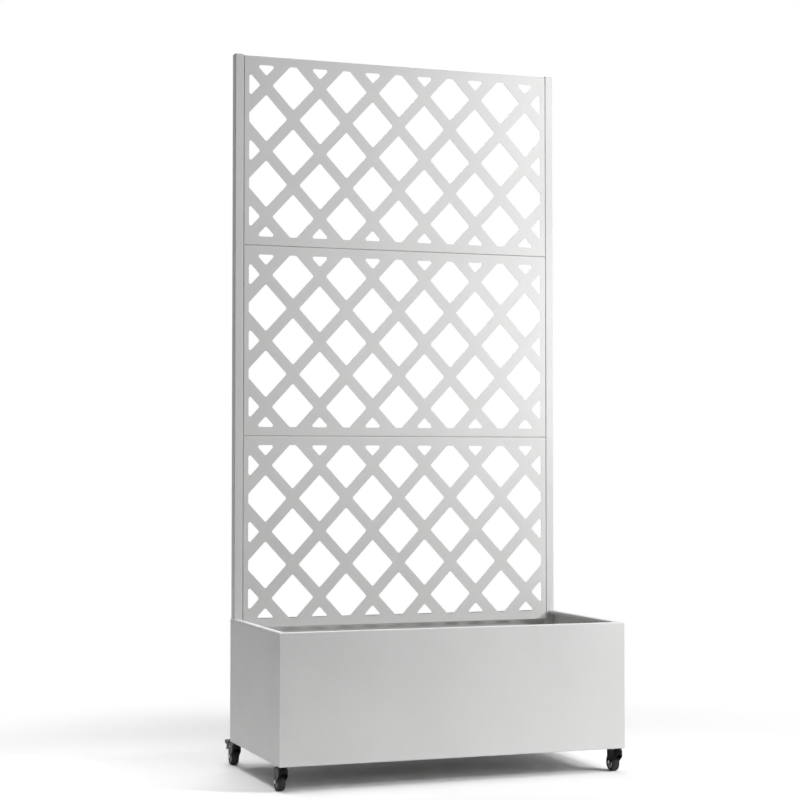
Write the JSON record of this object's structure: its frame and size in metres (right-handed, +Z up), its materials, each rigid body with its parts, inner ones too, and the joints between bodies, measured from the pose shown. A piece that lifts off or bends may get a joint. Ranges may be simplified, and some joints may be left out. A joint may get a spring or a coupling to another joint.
{
  "type": "planter with trellis",
  "caption": "Rectangular folded-sheet planter box on swivel casters, with tall rear posts that carry stacked diamond-lattice trellis panels; the rear casters have brake pedals.",
  "frame": {"origin": "on the floor, under the middle of the whole footprint, the trailing rear casters included", "axes": "+X to the right of someone facing the trellis from the front, +Y to the back, +Z up"},
  "size_m": [0.8, 0.4524, 1.63],
  "materials": {
    "painted_sheet": "light grey powder coat, satin with a fine texture",
    "painted_tube": "light grey powder coat, satin with a fine texture",
    "cap_plastic": "light grey moulded plastic",
    "black_plastic": "black moulded plastic",
    "fork_steel": "black coated steel",
    "hub_plastic": "grey moulded plastic",
    "tyre_rubber": "black tread, dull",
    "bush_plastic": "black nylon",
    "zinc_steel": "zinc-plated steel"
  },
  "bodies": {
    "planter": {"back_wall": "painted_sheet", "caster_inserts": "black_plastic", "caster_stems": "fork_steel", "floor_panel": "painted_sheet", "front_left_post": "painted_tube", "front_left_post_cap": "cap_plastic", "front_right_post": "painted_tube", "front_right_post_cap": "cap_plastic", "front_wall": "painted_sheet", "left_wall": "painted_sheet", "lower_lattice_panel": "painted_sheet", "middle_lattice_panel": "painted_sheet", "panel_screws": "zinc_steel", "rear_left_post": "painted_tube", "rear_left_post_cap": "cap_plastic", "rear_right_post": "painted_tube", "rear_right_post_cap": "cap_plastic", "right_wall": "painted_sheet", "seam_bolts": "zinc_steel", "seam_nuts": "zinc_steel", "swivel_bushes": "bush_plastic", "upper_lattice_panel": "painted_sheet", "wall_nuts": "zinc_steel", "wall_studs": "zinc_steel"},
    "front_left_caster": {"front_left_fork": "fork_steel", "front_left_axle": "zinc_steel"},
    "front_left_wheel": {"front_left_wheel_hub": "hub_plastic", "front_left_tyre": "tyre_rubber"},
    "front_right_caster": {"front_right_fork": "fork_steel", "front_right_axle": "zinc_steel"},
    "front_right_wheel": {"front_right_wheel_hub": "hub_plastic", "front_right_tyre": "tyre_rubber"},
    "rear_left_caster": {"rear_left_fork": "fork_steel", "rear_left_axle": "zinc_steel", "rear_left_pedal_pin": "zinc_steel"},
    "rear_left_wheel": {"rear_left_wheel_hub": "hub_plastic", "rear_left_tyre": "tyre_rubber"},
    "rear_left_brake": {"rear_left_brake_pedal": "black_plastic"},
    "rear_right_caster": {"rear_right_fork": "fork_steel", "rear_right_axle": "zinc_steel", "rear_right_pedal_pin": "zinc_steel"},
    "rear_right_wheel": {"rear_right_wheel_hub": "hub_plastic", "rear_right_tyre": "tyre_rubber"},
    "rear_right_brake": {"rear_right_brake_pedal": "black_plastic"}
  },
  "joints": [
    {"name": "front_left_swivel", "type": "hinge", "parent": "planter", "child": "front_left_caster", "pos_m": [-0.3888, -0.21245, 0.0491], "axis": [0, 0, 1], "continuous": true},
    {"name": "front_left_roll", "type": "hinge", "parent": "front_left_caster", "child": "front_left_wheel", "pos_m": [-0.3888, -0.18845, 0.019], "axis": [1, 0, 0], "continuous": true},
    {"name": "front_right_swivel", "type": "hinge", "parent": "planter", "child": "front_right_caster", "pos_m": [0.3888, -0.21245, 0.0491], "axis": [0, 0, 1], "continuous": true},
    {"name": "front_right_roll", "type": "hinge", "parent": "front_right_caster", "child": "front_right_wheel", "pos_m": [0.3888, -0.18845, 0.019], "axis": [1, 0, 0], "continuous": true},
    {"name": "rear_left_swivel", "type": "hinge", "parent": "planter", "child": "rear_left_caster", "pos_m": [-0.3888, 0.16015, 0.0491], "axis": [0, 0, 1], "continuous": true},
    {"name": "rear_left_roll", "type": "hinge", "parent": "rear_left_caster", "child": "rear_left_wheel", "pos_m": [-0.3888, 0.18415, 0.019], "axis": [1, 0, 0], "continuous": true},
    {"name": "rear_left_brake_press", "type": "hinge", "parent": "rear_left_caster", "child": "rear_left_brake", "pos_m": [-0.3888, 0.18015, 0.0434], "axis": [-1, 0, 0], "range_deg": [0, 12]},
    {"name": "rear_right_swivel", "type": "hinge", "parent": "planter", "child": "rear_right_caster", "pos_m": [0.3888, 0.16015, 0.0491], "axis": [0, 0, 1], "continuous": true},
    {"name": "rear_right_roll", "type": "hinge", "parent": "rear_right_caster", "child": "rear_right_wheel", "pos_m": [0.3888, 0.18415, 0.019], "axis": [1, 0, 0], "continuous": true},
    {"name": "rear_right_brake_press", "type": "hinge", "parent": "rear_right_caster", "child": "rear_right_brake", "pos_m": [0.3888, 0.18015, 0.0434], "axis": [-1, 0, 0], "range_deg": [0, 12]}
  ]
}
